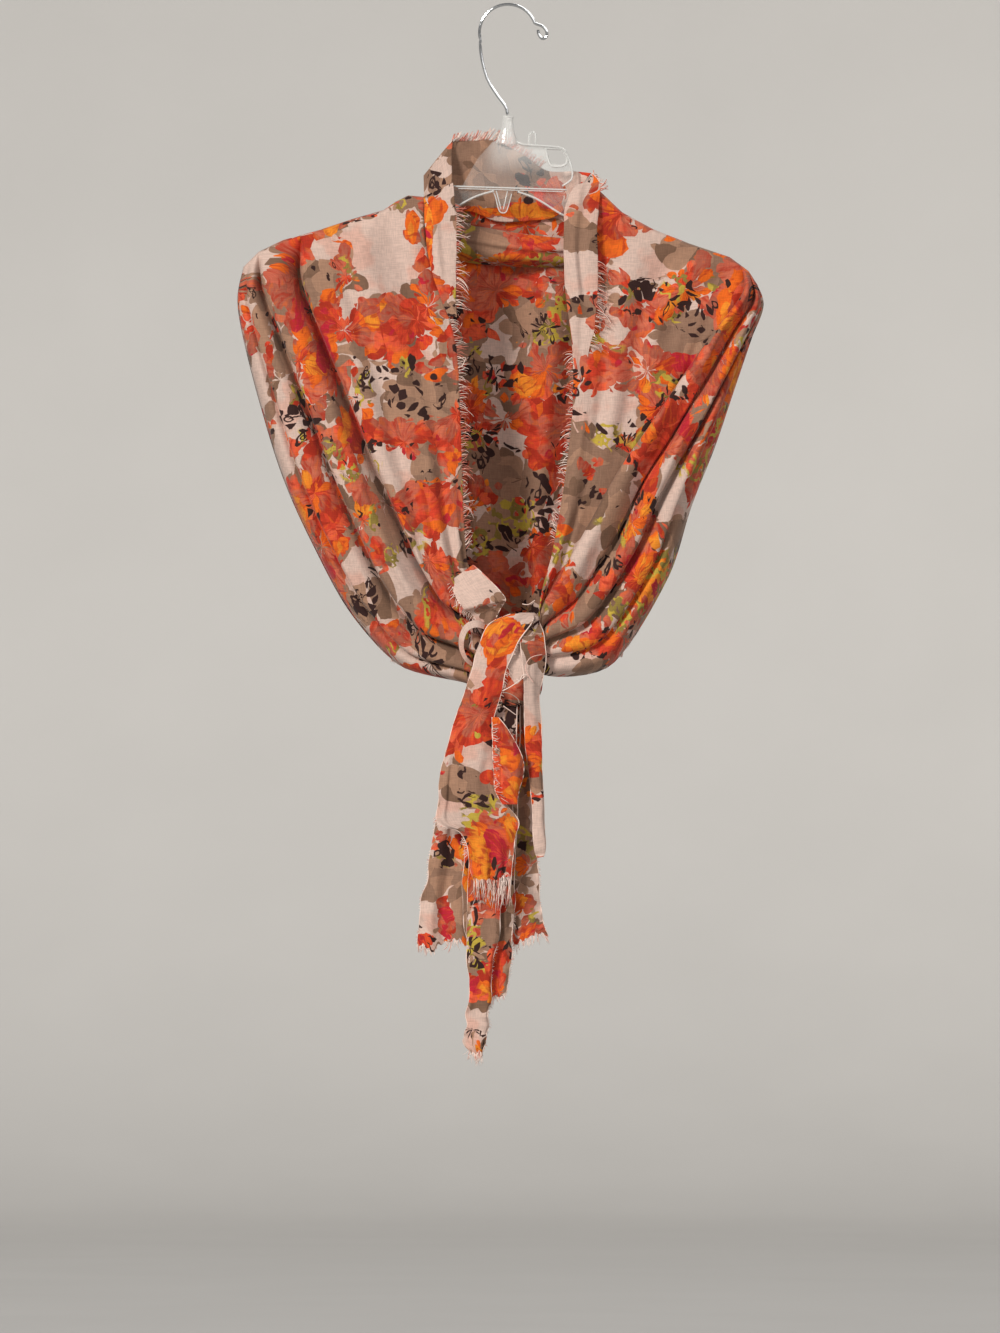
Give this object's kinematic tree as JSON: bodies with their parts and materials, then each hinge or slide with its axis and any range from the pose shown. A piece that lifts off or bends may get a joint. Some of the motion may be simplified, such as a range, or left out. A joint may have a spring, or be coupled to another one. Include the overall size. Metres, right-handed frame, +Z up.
{
  "type": "gauze scarf on a clothes hanger",
  "caption": "Wide printed gauze scarf laid over a clear clothes hanger, its fronts pleated down to a knot at the waist, with hanging tails and frayed edges.",
  "frame": {"origin": "inner top of the hanger's hook, where it hangs on a rail", "axes": "+Z up, the front with the knot faces -Y, +X to the right as seen from the front"},
  "size_m": [0.4443, 0.1054, 0.8938],
  "materials": {
    "coral_gauze": "soft printed gauze, mostly coral red",
    "taupe_gauze": "soft printed gauze, mostly taupe",
    "pale_gauze": "soft printed gauze, mostly pinkish white",
    "fringe_thread": "loose threads of the frayed edges",
    "clear_plastic": "clear moulded plastic",
    "chrome_wire": "bright plated wire"
  },
  "bodies": {
    "root": {"back_panel": "taupe_gauze", "left_front": "coral_gauze", "right_front": "coral_gauze", "collar": "taupe_gauze", "neck_roll": "coral_gauze", "left_lapel": "pale_gauze", "right_lapel": "pale_gauze", "knot": "coral_gauze", "knot_flap": "pale_gauze", "knot_loop": "pale_gauze", "tail_front": "coral_gauze", "tail_ruffle": "coral_gauze", "tail_right": "pale_gauze", "tail_long_front": "taupe_gauze", "tail_long_back": "taupe_gauze", "tail_back": "taupe_gauze", "collar_fringe": "fringe_thread", "left_edge_fringe": "fringe_thread", "right_edge_fringe": "fringe_thread", "left_lapel_fringe": "fringe_thread", "right_lapel_fringe": "fringe_thread", "tail_front_fringe": "fringe_thread", "tail_back_fringe": "fringe_thread", "tail_long_front_fringe": "fringe_thread", "tail_long_back_fringe": "fringe_thread", "hanger_body": "clear_plastic", "hook": "chrome_wire"}
  },
  "joints": []
}
